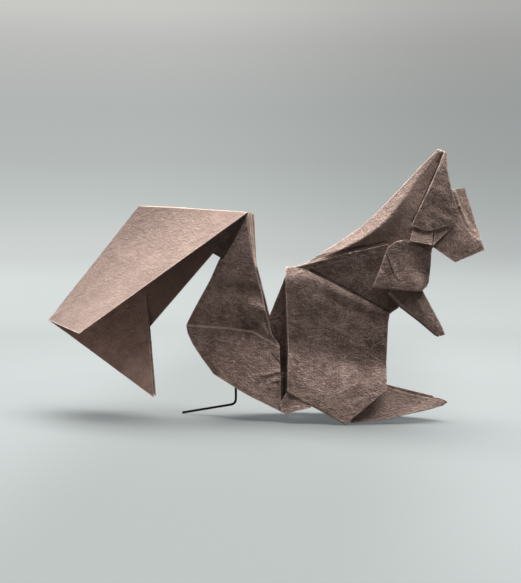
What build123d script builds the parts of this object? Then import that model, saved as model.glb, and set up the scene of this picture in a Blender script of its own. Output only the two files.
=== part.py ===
from build123d import *
import os

# An origami squirrel: one square of fibrous handmade paper, folded into a crouching animal with
# a wide hood-shaped tail, and the thin bent wire that props it up behind.
# Millimetres, +X where the squirrel looks, +Y its far side, +Z up, the surface it stands on at Z = 0.
# "back" and "reach" are distances behind and ahead of the haunch's rear edge, "side" is how far
# a corner lies from the middle plane, and "height" is measured from the surface.

# The sheet
paper = 0.3
crease_radius = 0.2

# Body layers, two flat sides that meet in a keel inside the rump
keel_back = 22.0
body_side_at_haunch = 1.54
body_splay = 0.07
keel_low = 16.0
keel_high = 25.0
flank_back = 4.9
flank_height = 30.0
body_low = 8.0
slit_reach = 4.5
slit_height = 46.0
shoulder_reach = 30.2
shoulder_height = 52.4
chest_reach = 33.4
chest_height = 33.8
breast_reach = 37.0
breast_height = 42.0

# Rump, a tent of two panels on a sloping spine
apex_back = 9.9
apex_height = 61.2
spine_back = 29.9
spine_height = 27.3
seat_back = 21.3
seat_height = 13.4
rump_edge_back = 1.3
rump_edge_height = 22.3
rump_edge_side = 4.5
rump_shoulder_back = 9.0
rump_shoulder_height = 46.3
rump_waist_back = 5.4
rump_waist_height = 30.5
rump_tip_reach = 0.5
rump_tip_height = 2.5
rump_tip_side = 6.3
rump_toe_reach = 8.5
rump_toe_height = 5.0
slit_width = 1.6

# Haunch, one broad panel on each side that bends outwards and stands on its lowest corner
haunch_rear = 0.4
haunch_top_height = 45.0
haunch_top_side = 2.6
haunch_top_reach = 5.3
haunch_front_reach = 30.6
haunch_front_height = 32.1
haunch_bend_height = 21.0
haunch_bend_side = 5.3
haunch_knee_height = 10.0
haunch_heel_height = 8.9
haunch_floor_reach = 18.5
haunch_floor_side = 11.0

# Foot
ankle_reach = 26.0
ankle_height = 10.7
ankle_side = 2.2
toe_reach = 48.1
toe_height = 5.7
toe_side = 1.0
sole_rear_reach = 19.5
sole_rear_height = 0.9
sole_rear_side = 8.8
sole_mid_reach = 33.5
sole_mid_height = 2.0
sole_front_reach = 42.6
sole_front_height = 3.6

# Neck, a ridge with a bright facet on either side above two flat cheeks
neck_reach = (3.6, 19.1, 27.8, 34.7)
neck_height = (45.3, 55.1, 62.2, 69.2)
nape_reach = (11.6, 19.2, 25.6, 32.5, 37.2)
nape_height = (47.8, 51.7, 55.3, 61.3, 68.4)
nape_rear_side = 1.5
nape_front_side = 3.6
peak_reach = 44.4
peak_height = 79.9
throat_reach = 43.6
throat_height = 51.5
throat_side = 3.9

# Head
ear_tip_reach = 46.7
ear_tip_height = 78.7
ear_tip_side = 1.0
ear_rear_reach = 36.8
ear_rear_height = 57.8
ear_rear_side = 4.6
ear_base_reach = 40.8
ear_base_height = 56.0
ear_front_reach = 50.2
ear_front_height = 58.8
ear_front_side = 4.0
brow_reach = 48.7
brow_height = 68.0
brow_side = 1.7
forehead_reach = 52.3
forehead_height = 68.5
cheek_edge_reach = 51.2
cheek_edge_height = 60.8
muzzle_reach = 56.7
muzzle_height = 54.3
muzzle_side = 2.8
face_tuck = 1.5
snout_reach = 58.1
snout_height = 50.8
jaw_reach = 49.5
jaw_height = 47.2
cheek_flap_rear_reach = 36.6
cheek_flap_front_reach = 42.8
cheek_flap_top_height = 59.0
cheek_flap_rear_height = 53.4
cheek_flap_front_height = 52.2
cheek_flap_stand = 0.6

# Arm, a pouch at the shoulder with the forearm coming out below it
pouch_top_reach = 36.6
pouch_top_height = 53.4
pouch_rear_reach = 25.8
pouch_rear_height = 39.9
pouch_stand = 1.1
elbow_reach = 42.4
elbow_top_height = 50.0
elbow_low_height = 40.8
elbow_top_side = 4.2
elbow_low_side = 5.6
pouch_low_reach = 39.7
pouch_low_height = 38.5
pouch_fold_reach = 35.7
pouch_fold_height = 47.8
paw_reach = 47.0
paw_height = 26.1
paw_side = 5.6
paw_width = 3.0
forearm_top_reach = 40.4
forearm_top_height = 38.6
forearm_root_reach = 29.0
forearm_root_height = 45.0

# Tail, a hood of two outer panels on one ridge, with a double inner triangle; it hangs unevenly,
# so its sides are given from the middle plane towards the far side
ridge_rear_back = 46.3
ridge_rear_height = 63.2
ridge_rear_far = 12.0
ridge_front_back = 10.9
ridge_front_height = 61.5
ridge_front_far = -1.0
tail_tip_back = 74.6
tail_tip_height = 27.6
tail_tip_far = 8.0
near_corner_back = 59.1
near_corner_height = 26.2
near_corner_far = -14.0
far_corner_back = 53.6
far_corner_height = 13.2
far_corner_far = 8.6
inner_tip_back = 39.4
inner_tip_height = 5.5
inner_tip_far = -0.6
inner_lap = 1.2
gusset_share = 0.285
gusset_drop = 14.0

# Wire prop
wire_diameter = 0.7
wire_bend_radius = 1.6
wire_foot_length = 17.4
wire_bend_height = 3.9
wire_tuck_height = 24.0
wire_foot_swing = 10.0


# The origin is under the middle of the whole figure
middle = (snout_reach - tail_tip_back) / 2
middle_side = (ridge_rear_far + near_corner_far) / 2


def corner(reach, side, height):
    """A corner of the sheet, by its reach from the haunch's rear edge."""
    return Vector(reach - middle, side - middle_side, height)


def corner_in(plane_corners, reach, height):
    """The corner with this reach and height that lies flat with three others."""
    base, second, third = plane_corners
    normal = (second - base).cross(third - base)
    flat = corner(reach, 0, height)
    side = base.Y - (normal.X * (flat.X - base.X) + normal.Z * (height - base.Z)) / normal.Y
    return Vector(flat.X, side, height)


def body_side(reach):
    """How far the body's layers stand from the middle plane at a reach."""
    return body_side_at_haunch + body_splay * reach


def panel(*corners, layers=1):
    """A flat facet of the sheet: a plate through its corners, half its thickness to either side."""
    base, *others = corners
    across = Vector()
    for one, other in zip(others, others[1:]):
        across += (one - base).cross(other - base)
    facet = Plane(origin=base, x_dir=others[0] - base, z_dir=across)
    with BuildSketch(facet) as outline:
        with BuildLine():
            Polyline(*[facet.to_local_coords(point) for point in corners], close=True)
        make_face()
    extrude(outline.sketch, amount=paper * layers / 2, both=True)


def crease(*corners):
    """A fold's back along a line of corners, an eight-sided bead a little thicker than the paper."""
    for start, end in zip(corners, corners[1:]):
        with BuildSketch(Plane(origin=start, z_dir=end - start)) as section:
            RegularPolygon(crease_radius, 8)
        extrude(section.sketch, amount=(end - start).length)


def far(near):
    """The far side's twin of a near corner."""
    return Vector(near.X, -2 * middle_side - near.Y, near.Z)


# Corners of the near side
apex = corner(-apex_back, 0, apex_height)
spine = corner(-spine_back, 0, spine_height)
keel_top = corner(-keel_back, 0, keel_high)
keel_bottom = corner(-keel_back, 0, keel_low)


def on_body(reach, height):
    """A corner on the near body layer."""
    return corner(reach, -body_side(reach), height)


rump_edge = corner(-rump_edge_back, -rump_edge_side, rump_edge_height)
rump_tip = corner(rump_tip_reach, -rump_tip_side, rump_tip_height)
upper_rump = (apex, spine, rump_edge)
lower_rump = (spine, rump_edge, rump_tip)
seat = corner_in(lower_rump, -seat_back, seat_height)
rump_shoulder = corner_in(upper_rump, -rump_shoulder_back, rump_shoulder_height)
rump_waist = corner_in(upper_rump, -rump_waist_back, rump_waist_height)
slit_foot = corner_in(lower_rump, -rump_edge_back / 2, rump_toe_height)
slit_front = corner_in(lower_rump, slit_width, haunch_heel_height)
rump_toe = corner_in(lower_rump, rump_toe_reach, rump_toe_height)

haunch_top_rear = corner(haunch_rear, -haunch_top_side, haunch_top_height)
bend_rear = corner(haunch_rear + 1, -haunch_bend_side, haunch_bend_height)
bend_front = corner(haunch_front_reach, -haunch_bend_side, haunch_bend_height)
upper_haunch = (haunch_top_rear, bend_rear, bend_front)
haunch_top = corner_in(upper_haunch, haunch_top_reach, haunch_top_height)
haunch_front = corner_in(upper_haunch, haunch_front_reach, haunch_front_height)
haunch_floor = corner(haunch_floor_reach, -haunch_floor_side, 0)
lower_haunch = (bend_rear, bend_front, haunch_floor)
heel = corner_in(lower_haunch, haunch_rear + 1, haunch_heel_height)
knee = corner_in(lower_haunch, haunch_front_reach, haunch_knee_height)

ankle = corner(ankle_reach, -ankle_side, ankle_height)
toe = corner(toe_reach, -toe_side, toe_height)
sole_rear = corner(sole_rear_reach, -sole_rear_side, sole_rear_height)
foot_plane = (ankle, toe, sole_rear)

ridge = [corner(reach, 0, height) for reach, height in zip(neck_reach, neck_height)]
peak = corner(peak_reach, 0, peak_height)
throat = corner(throat_reach, -throat_side, throat_height)
nape_rear = corner(nape_reach[0], -nape_rear_side, nape_height[0])
nape_front = corner(nape_reach[-1], -nape_front_side, nape_height[-1])
neck_plane = (nape_rear, nape_front, throat)
nape = [corner_in(neck_plane, reach, height) for reach, height in zip(nape_reach, nape_height)]

ear_tip = corner(ear_tip_reach, -ear_tip_side, ear_tip_height)
ear_rear = corner(ear_rear_reach, -ear_rear_side, ear_rear_height)
ear_front = corner(ear_front_reach, -ear_front_side, ear_front_height)
ear_base = corner_in((ear_tip, ear_rear, ear_front), ear_base_reach, ear_base_height)
brow = corner(brow_reach, -brow_side, brow_height)
muzzle = corner(muzzle_reach, -muzzle_side, muzzle_height)
forehead = corner(forehead_reach, 0, forehead_height)
face_plane = (brow, muzzle, throat)
cheek_edge = corner_in(face_plane, cheek_edge_reach, cheek_edge_height)
stand = Vector(0, cheek_flap_stand, 0)
cheek_flap_top = corner_in(neck_plane, cheek_flap_rear_reach, cheek_flap_top_height) - stand / 3
cheek_flap_rear = corner_in(neck_plane, cheek_flap_rear_reach, cheek_flap_rear_height) - stand
cheek_flap_front = corner_in(neck_plane, cheek_flap_front_reach, cheek_flap_front_height) - stand
cheek_flap_plane = (cheek_flap_top, cheek_flap_rear, cheek_flap_front)
cheek_flap_under = corner_in(cheek_flap_plane, cheek_flap_front_reach, cheek_flap_top_height)

shoulder = on_body(shoulder_reach, shoulder_height)
elbow_top = corner(elbow_reach, -elbow_top_side, elbow_top_height)
pouch_rear = on_body(pouch_rear_reach, pouch_rear_height) - Vector(0, pouch_stand, 0)
elbow_low = corner(elbow_reach, -elbow_low_side, elbow_low_height)
pouch_plane = (shoulder, pouch_rear, elbow_low)
pouch_low = corner_in(pouch_plane, pouch_low_reach, pouch_low_height)
pouch_fold = corner_in(pouch_plane, pouch_fold_reach, pouch_fold_height)
pouch_top = corner_in((pouch_fold, elbow_low, elbow_top), pouch_top_reach, pouch_top_height)
forearm_root = on_body(forearm_root_reach, forearm_root_height)
paw = corner(paw_reach, -paw_side, paw_height)
wrist = on_body(chest_reach, chest_height) - Vector(0, paper * 2, 0)
forearm_plane = (forearm_root, paw, wrist)

# Corners of the tail
ridge_rear = corner(-ridge_rear_back, ridge_rear_far, ridge_rear_height)
ridge_front = corner(-ridge_front_back, ridge_front_far, ridge_front_height)
tail_tip = corner(-tail_tip_back, tail_tip_far, tail_tip_height)
near_corner = corner(-near_corner_back, near_corner_far, near_corner_height)
far_corner = corner(-far_corner_back, far_corner_far, far_corner_height)
inner_tip = corner(-inner_tip_back, inner_tip_far, inner_tip_height)
gusset_near = ridge_front + (near_corner - ridge_front) * gusset_share
gusset_spine = apex + (spine - apex) * (gusset_drop / (apex_height - spine_height))

with BuildPart() as folded_sheet:
    # Body layer, from the keel inside the rump to the breast under the arm
    panel(
        keel_bottom,
        keel_top,
        on_body(-flank_back, flank_height),
        on_body(haunch_rear, haunch_top_height),
        on_body(slit_reach, slit_height),
        shoulder,
        on_body(breast_reach, breast_height),
        on_body(chest_reach, chest_height),
        on_body(haunch_front_reach - 1, haunch_front_height - 1),
        on_body(haunch_front_reach - 2, body_low),
        on_body(haunch_rear, body_low),
    )

    # Rump
    panel(spine, apex, rump_shoulder, rump_waist, rump_edge)
    panel(spine, seat, rump_tip, rump_toe, slit_front, slit_foot, rump_edge)
    panel(rump_edge, slit_foot, on_body(-rump_shoulder_back, keel_low))
    crease(spine, rump_edge)

    # Haunch, its folded-in edges and the flat saddle between the two haunches
    panel(bend_rear, bend_front, haunch_front, haunch_top, haunch_top_rear)
    panel(bend_rear, bend_front, knee, haunch_floor, heel)
    panel(haunch_top, haunch_front, on_body(ankle_reach, haunch_bend_height))
    panel(heel, haunch_floor, on_body(haunch_floor_reach, body_low + 1))
    panel(knee, haunch_floor, on_body(ankle_reach, body_low + 1))
    crease(haunch_top, haunch_front)
    crease(haunch_floor, knee)

    # Foot
    panel(
        ankle,
        toe,
        corner_in(foot_plane, sole_front_reach, sole_front_height),
        corner_in(foot_plane, sole_mid_reach, sole_mid_height),
        sole_rear,
        corner_in(foot_plane, haunch_floor_reach, ankle_height),
    )

    # Neck
    panel(
        *nape,
        throat,
        corner_in(neck_plane, breast_reach, breast_height),
        corner_in(neck_plane, slit_reach * 2, haunch_top_height - 2),
    )
    panel(
        on_body(chest_reach, chest_height),
        on_body(breast_reach, breast_height),
        corner_in(neck_plane, shoulder_reach, haunch_top_height),
    )
    for step in range(3):
        panel(ridge[step], ridge[step + 1], nape[step])
        panel(ridge[step + 1], nape[step], nape[step + 1])
    panel(ridge[3], nape[3], nape[4])
    crease(*nape)

    # Head
    panel(ridge[3], peak, nape[4])
    panel(peak, ear_tip, nape[4])
    panel(ear_tip, ear_rear, nape[4])
    panel(ear_tip, ear_rear, ear_base, ear_front)
    crease(ear_tip, ear_rear)
    panel(brow, cheek_edge, forehead)
    panel(cheek_edge, muzzle, forehead)
    panel(
        brow,
        cheek_edge,
        muzzle,
        corner_in(face_plane, snout_reach, snout_height),
        corner_in(face_plane, jaw_reach, jaw_height),
        corner_in(face_plane, throat_reach - face_tuck, throat_height),
        corner_in(face_plane, throat_reach - face_tuck, brow_height),
    )
    panel(cheek_flap_top, cheek_flap_rear, cheek_flap_front, cheek_flap_under)

    # Arm
    panel(shoulder, pouch_fold, elbow_low, pouch_low, pouch_rear)
    panel(pouch_fold, elbow_low, elbow_top, pouch_top)
    panel(shoulder, pouch_fold, pouch_top)
    panel(
        forearm_root,
        wrist,
        corner_in(forearm_plane, paw_reach - paw_width, paw_height),
        paw,
        corner_in(forearm_plane, forearm_top_reach, forearm_top_height),
    )

    # The far side is the near one mirrored
    mirror(about=Plane(origin=corner(0, 0, 0), z_dir=(0, 1, 0)))

    # Layers on the middle plane: the keel inside the rump, its seat, the saddle and the forehead
    panel(spine, keel_top, keel_bottom, layers=2)
    panel(spine, seat, far(seat))
    panel(haunch_top_rear, haunch_top, far(haunch_top), far(haunch_top_rear))
    panel(
        peak,
        corner(brow_reach, 0, brow_height),
        forehead,
        corner(muzzle_reach, 0, muzzle_height),
        corner(snout_reach, 0, snout_height),
        corner(jaw_reach, 0, jaw_height),
        corner(throat_reach, 0, throat_height),
        layers=2,
    )
    crease(*ridge, peak)
    crease(apex, spine, seat)
    crease(spine, far(seat))

    # Tail
    panel(ridge_rear, ridge_front, near_corner)
    panel(ridge_rear, near_corner, tail_tip)
    panel(ridge_rear, ridge_front, far_corner)
    panel(ridge_rear, far_corner, tail_tip)
    panel(ridge_rear, tail_tip, inner_tip)
    panel(ridge_rear, tail_tip, inner_tip + Vector(inner_lap, inner_lap, 0))
    panel(ridge_front, gusset_near, gusset_spine)
    crease(tail_tip, ridge_rear, ridge_front)

    # The corners that bear on the surface are pressed flat
    split(bisect_by=Plane.XY, keep=Keep.TOP)

# The wire goes up between the two body layers where they pinch it
wire_radius = wire_diameter / 2
pinch = (wire_radius + paper / 2) * (1 + body_splay**2) ** 0.5
wire_reach = (pinch - body_side_at_haunch) / body_splay
wire_rise = wire_bend_height - wire_radius
foot_run = (wire_foot_length**2 - wire_rise**2) ** 0.5
wire_top = corner(wire_reach, 0, wire_tuck_height)
wire_bend = corner(wire_reach, 0, wire_bend_height)
wire_tip = wire_bend + Vector(-foot_run, 0, -wire_rise).rotate(Axis.Z, -wire_foot_swing)

with BuildPart() as support_wire:
    with BuildLine() as wire_route:
        FilletPolyline(wire_top, wire_bend, wire_tip, radius=wire_bend_radius)
    with BuildSketch(Plane(origin=wire_top, z_dir=wire_route.line % 0)):
        Circle(wire_radius)
    sweep()

os.makedirs("parts", exist_ok=True)
folded_sheet.part.label = "folded_sheet"
export_step(folded_sheet.part, "parts/folded_sheet.step")
support_wire.part.label = "support_wire"
export_step(support_wire.part, "parts/support_wire.step")
for piece in (folded_sheet.part, support_wire.part):
    size = piece.bounding_box().size
    print(piece.label, "solids", len(piece.solids()), "size", [round(v, 2) for v in size])
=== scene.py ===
"""The looks of an origami squirrel, folded from one square of fibrous handmade paper.

Corners are written in millimetres as (reach, side, height): reach runs from the haunch's rear edge
towards the head, side is minus on the near side and plus on the far side, height is from the floor.
A net is a list of rows of corners. Each stretch of paper is one net, made into a thin closed shell.
"""
import math

import bmesh
import bpy
import numpy as np
from mathutils import Matrix, Vector


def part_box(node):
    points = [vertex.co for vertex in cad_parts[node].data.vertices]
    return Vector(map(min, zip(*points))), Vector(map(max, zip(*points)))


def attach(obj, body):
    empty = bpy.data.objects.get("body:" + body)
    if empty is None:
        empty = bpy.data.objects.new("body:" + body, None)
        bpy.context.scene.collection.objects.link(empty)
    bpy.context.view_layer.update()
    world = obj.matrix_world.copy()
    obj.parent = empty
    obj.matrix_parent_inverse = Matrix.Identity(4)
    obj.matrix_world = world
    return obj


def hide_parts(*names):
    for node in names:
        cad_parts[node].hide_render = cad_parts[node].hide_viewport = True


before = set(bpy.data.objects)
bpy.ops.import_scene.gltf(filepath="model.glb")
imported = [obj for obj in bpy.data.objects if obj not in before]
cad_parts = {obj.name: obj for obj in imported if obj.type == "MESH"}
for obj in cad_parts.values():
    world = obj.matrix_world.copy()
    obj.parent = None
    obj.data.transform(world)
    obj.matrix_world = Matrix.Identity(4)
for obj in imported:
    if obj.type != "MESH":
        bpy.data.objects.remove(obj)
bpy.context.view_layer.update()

bl_info = {
    "name": "Origami squirrel",
    "version": (1, 0, 0),
    "blender": (4, 5, 0),
    "location": "3D View > Sidebar > Squirrel",
    "description": "Folds a crouching squirrel with a hood-shaped tail from fibrous paper",
    "category": "Add Mesh",
}

# The frame's origin is under the middle of the figure, at this corner
MIDDLE = (-8.25, -1.0, 0.0)
# What a corner's side is multiplied by: the nets are written for the near side
NEAR, FAR = 1.0, -1.0
# The distances that the paper's finish reads at each vertex: to a cut edge, to a fold and to a line of
# painted shade; and the one that stands for no line near
MARKS = ("edge_mm", "fold_mm", "shade_line_mm")
FAR_OFF = 99.0


class SquirrelPaper(bpy.types.PropertyGroup):
    """Sizes and colours of the paper and the wire."""

    thickness: bpy.props.FloatProperty(
        name="Paper", description="Thickness of the paper, in millimetres", default=0.3, min=0.05
    )
    fold_radius: bpy.props.FloatProperty(
        name="Fold radius", description="How round a pressed fold is, in millimetres", default=0.3, min=0.0
    )
    mesh_step: bpy.props.FloatProperty(
        name="Mesh step", description="Longest side of a mesh face, in millimetres", default=0.8, min=0.2
    )
    cockle: bpy.props.FloatProperty(
        name="Cockle", description="Height of the paper's gentle unevenness, in millimetres", default=0.13
    )
    paper_colour: bpy.props.FloatVectorProperty(
        name="Paper colour", description="Pulp of the paper", subtype="COLOR", size=3,
        default=(0.435, 0.32, 0.276),
    )
    hollow_colour: bpy.props.FloatVectorProperty(
        name="Hollow colour", description="Dips between the fibres", subtype="COLOR", size=3,
        default=(0.29, 0.206, 0.178),
    )
    fibre_colour: bpy.props.FloatVectorProperty(
        name="Fibre colour", description="Long fibres and worn folds", subtype="COLOR", size=3,
        default=(0.62, 0.485, 0.42),
    )
    wire_colour: bpy.props.FloatVectorProperty(
        name="Wire colour", description="Lacquer on the wire", subtype="COLOR", size=3,
        default=(0.002, 0.0025, 0.003),
    )


class SquirrelStage(bpy.types.PropertyGroup):
    """The floor, the backdrop, the lights and the camera."""

    floor_colour: bpy.props.FloatVectorProperty(
        name="Floor colour", description="The seamless floor", subtype="COLOR", size=3,
        default=(0.57, 0.625, 0.622),
    )
    key_power: bpy.props.FloatProperty(
        name="Softbox", description="Power of the softbox above", default=22.8, unit="POWER"
    )
    bounce_power: bpy.props.FloatProperty(
        name="Bounce", description="Power of the weak light thrown back up under the tail",
        default=0.0036, unit="POWER",
    )
    fill_strength: bpy.props.FloatProperty(
        name="Fill", description="Strength of the light from all round", default=0.099
    )
    focal_length: bpy.props.FloatProperty(
        name="Lens", description="Focal length on a frame 36 mm high", default=74.1, unit="CAMERA"
    )


# Surfaces


def runs(points, radii, step, axis):
    """Samples a net of corners along one of its axes.

    Formula: between two corners the surface is the straight run a + (b - a) t. At a corner with a
    radius the runs stop that far before it, and the parabola (1-t)^2 a + 2t(1-t) c + t^2 b joins them.
    A radius takes up to 0.45 of the run on either side.
    """
    net = np.moveaxis(points, axis, 0)
    last = len(net) - 1
    legs = np.diff(net, axis=0)
    lengths = np.linalg.norm(legs, axis=-1, keepdims=True)
    ways = legs / np.maximum(lengths, 1e-9)
    starts, ends = net[:-1].copy(), net[1:].copy()
    for i in range(1, last):
        room = np.minimum(radii.get(i, 0.0), 0.45 * np.minimum(lengths[i - 1], lengths[i]))
        ends[i - 1] -= ways[i - 1] * room
        starts[i] += ways[i] * room

    def shares(count):
        return np.linspace(0.0, 1.0, count).reshape((-1,) + (1,) * (net.ndim - 1))

    samples = []
    for i in range(last):
        steps = max(1, int(np.ceil(lengths[i].max() / step)))
        samples.append(starts[i] + (ends[i] - starts[i]) * shares(steps + 1))
        if i + 1 == last:
            break
        if i + 1 in radii:
            t = shares(7)[1:-1]
            samples.append((1 - t) ** 2 * ends[i] + 2 * t * (1 - t) * net[i + 1] + t**2 * starts[i + 1])
        else:
            samples[-1] = samples[-1][:-1]
    return np.moveaxis(np.concatenate(samples), 0, axis)


def nearest(points, starts, ends):
    """Distance from every point to the nearest of some straight lines, as one array."""
    legs = ends - starts
    along = np.einsum("...sk,sk->...s", points[..., None, :] - starts, legs)
    along = np.clip(along / np.maximum((legs**2).sum(-1), 1e-9), 0.0, 1.0)
    gaps = points[..., None, :] - (starts + along[..., None] * legs)
    return np.sqrt((gaps**2).sum(-1)).min(-1)


def off_lines(points, lines, flat=False):
    """Distance from every point to the nearest of some chains of corners.

    With flat it is measured as seen square from the side, in reach and height only.
    """
    if not lines:
        return np.full(points.shape[:-1], FAR_OFF)
    seen = (1.0, 0.0, 1.0) if flat else (1.0, 1.0, 1.0)
    lines = [np.array(line, dtype=float) * seen for line in lines]
    starts = np.concatenate([line[:-1] for line in lines])
    ends = np.concatenate([line[1:] for line in lines])
    return nearest(points * seen, starts, ends)


def is_point(line):
    """Whether one border of a grid has shrunk to a point."""
    return np.ptp(line, axis=0).max() < 1e-6


def facing(grid):
    """The unit normal at every vertex of a grid: the mean of the faces round it."""
    faces = np.cross(grid[1:, 1:] - grid[:-1, :-1], grid[1:, :-1] - grid[:-1, 1:])
    total = np.zeros_like(grid)
    for rows in (slice(None, -1), slice(1, None)):
        for columns in (slice(None, -1), slice(1, None)):
            total[rows, columns] += faces
    for border in ((0, slice(None)), (-1, slice(None)), (slice(None), 0), (slice(None), -1)):
        if is_point(grid[border]):
            total[border] = total[border].sum(axis=0)
    return total / np.maximum(np.linalg.norm(total, axis=-1, keepdims=True), 1e-12)


def cockle(points, seed, height):
    """Gentle unevenness: seven plane waves, 6 to 30 mm long, whose directions and phases are seeded.

    Formula: height * sum of sin(2 pi p.way / length + phase) * (length / longest)^0.7, over 2.2.
    """
    count, shortest, longest = 7, 6.0, 30.0
    luck = np.random.default_rng(seed)
    ways = luck.normal(size=(count, 3))
    ways /= np.linalg.norm(ways, axis=1, keepdims=True)
    lengths = luck.uniform(shortest, longest, count)
    waves = np.sin(points @ (ways.T * (2 * np.pi / lengths)) + luck.uniform(0, 2 * np.pi, count))
    return height * (waves * (lengths / longest) ** 0.7).sum(-1) / 2.2


def sheet(rows, rounds=None, column_rounds=None, folds=(), column_folds=(), seed=1, wrinkles=(),
          wear_and_highlight_lines=(), gaps=(), faint=0.0, lift=0.0, cockle_height=None, step=None):
    """One stretch of paper as a closed thin shell, from a net of corners.

    rounds and column_rounds give the radius at a row or column of the net, and folds and column_folds
    say which of them are pale, partly as rubbed wear and partly as painted highlight. Two lists of lines
    on the paper, given as seen from the side, are painted too: pale ones, partly rubbed wear and partly
    painted highlight, and gaps, dark lines of painted shade where layers meet and in creases. faint
    weakens the painted shade.

    Formula: runs() samples the net down its rows and then across its columns. Every vertex moves along
    its normal by cockle() * (1 - exp(-(border / 2.5 mm)^2)) + lift * (1 - exp(-(border / 3 mm)^2)), and
    by depth * exp(-(d / width)^2) for each wrinkle (start, end, depth, width), a line at distance d. The
    grid is laid down twice, half the paper's thickness to each side, and a rim joins the two.
    """
    paper = bpy.context.scene.squirrel_paper
    net = np.array(rows, dtype=float)
    step = step or paper.mesh_step
    grid = runs(net, rounds or {}, step, 0)
    grid = runs(grid, column_rounds or {}, step, 1)
    borders = [line for line in (net[0], net[-1], net[:, 0], net[:, -1]) if not is_point(line)]
    edge = off_lines(grid, borders)
    fold = off_lines(grid, [net[i] for i in folds] + [net[:, j] for j in column_folds])
    fold = np.minimum(fold, off_lines(grid, wear_and_highlight_lines, flat=True))
    # Distance to the lines of painted shade, pushed out by faint
    shade_distance = off_lines(grid, gaps, flat=True) + faint
    normals = facing(grid)
    height = paper.cockle if cockle_height is None else cockle_height
    moved = cockle(grid, seed, height) * (1 - np.exp(-((edge / 2.5) ** 2)))
    moved = moved + lift * (1 - np.exp(-((edge / 3.0) ** 2)))
    for start, end, depth, width in wrinkles:
        off = nearest(grid, np.array([start], float), np.array([end], float))
        moved = moved + depth * np.exp(-((off / width) ** 2))
    grid = grid + normals * moved[..., None]
    out = facing(grid) * paper.thickness / 2
    count = grid.shape[0] * grid.shape[1]
    index = np.arange(count).reshape(grid.shape[:2])
    quads = np.stack([index[:-1, :-1], index[1:, :-1], index[1:, 1:], index[:-1, 1:]], -1).reshape(-1, 4)
    ring = np.concatenate([index[0, :-1], index[:-1, -1], index[-1, :0:-1], index[:0:-1, 0]])
    after = np.roll(ring, -1)
    rim = np.stack([ring, after, after + count, ring + count], -1)
    vertices = np.concatenate([(grid + out).reshape(-1, 3), (grid - out).reshape(-1, 3)])
    faces = np.concatenate([quads, quads[:, ::-1] + count, rim])
    return (vertices, faces) + tuple(np.tile(off.reshape(-1), 2) for off in (edge, fold, shade_distance))


def ring_quads(grid):
    """The quads between the rows of a grid whose every row is a closed ring."""
    index = np.arange(grid.shape[0] * grid.shape[1]).reshape(grid.shape[:2])
    beside = np.roll(index, -1, axis=1)
    return np.stack([index[:-1], index[1:], beside[1:], beside[:-1]], -1).reshape(-1, 4)


def turned(corners, side):
    """Corners that are written for the near side, on the side that is asked for."""
    return np.array(corners, dtype=float) * (1.0, side, 1.0)


def turned_wrinkles(wrinkles, side):
    """Wrinkles on one side. Mirroring turns a net's normals inside out, so their depths change sign."""
    return [(turned(a, side), turned(b, side), side * depth, width) for a, b, depth, width in wrinkles]


def piece(name, shells, material, node="folded_sheet"):
    """Joins some closed shells, in millimetres, into one object that rides with the frame."""
    merge, smooth_below = 2e-6, math.radians(42)
    vertices, faces, marks, start = [], [], [[] for _ in MARKS], 0
    for some, quads, *offs in shells:
        vertices.append(some)
        faces.append(quads + start)
        for kept, off in zip(marks, offs):
            kept.append(off)
        start += len(some)
    placed = (np.concatenate(vertices) - MIDDLE) / 1000.0
    # The paper stands on the floor, so nothing goes below it
    placed[:, 2] = np.maximum(placed[:, 2], 0.0)
    faces = np.concatenate(faces)
    mesh = bpy.data.meshes.new(name)
    mesh.vertices.add(len(placed))
    mesh.vertices.foreach_set("co", placed.astype(np.float32).reshape(-1))
    mesh.loops.add(faces.size)
    mesh.loops.foreach_set("vertex_index", faces.reshape(-1).astype(np.int32))
    mesh.polygons.add(len(faces))
    mesh.polygons.foreach_set("loop_start", np.arange(0, faces.size, 4, dtype=np.int32))
    for label, values in zip(MARKS, marks):
        layer = mesh.attributes.new(label, "FLOAT", "POINT")
        layer.data.foreach_set("value", np.concatenate(values).astype(np.float32))
    mesh.update(calc_edges=True)
    mesh.validate()
    shape = bmesh.new()
    shape.from_mesh(mesh)
    bmesh.ops.remove_doubles(shape, verts=shape.verts, dist=merge)
    bmesh.ops.dissolve_degenerate(shape, edges=shape.edges, dist=merge)
    bmesh.ops.recalc_face_normals(shape, faces=shape.faces)
    shape.to_mesh(mesh)
    shape.free()
    mesh.shade_smooth()
    mesh.set_sharp_from_angle(angle=smooth_below)
    mesh.materials.append(material)
    thing = bpy.data.objects.new(name, mesh)
    bpy.context.scene.collection.objects.link(thing)
    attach(thing, "root")
    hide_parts(node)
    return thing


# Finishes


def tinted(colour, tone=1.0):
    """A colour made lighter or darker, with its alpha."""
    return tuple(min(1.0, c * tone) for c in colour) + (1.0,)


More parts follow.
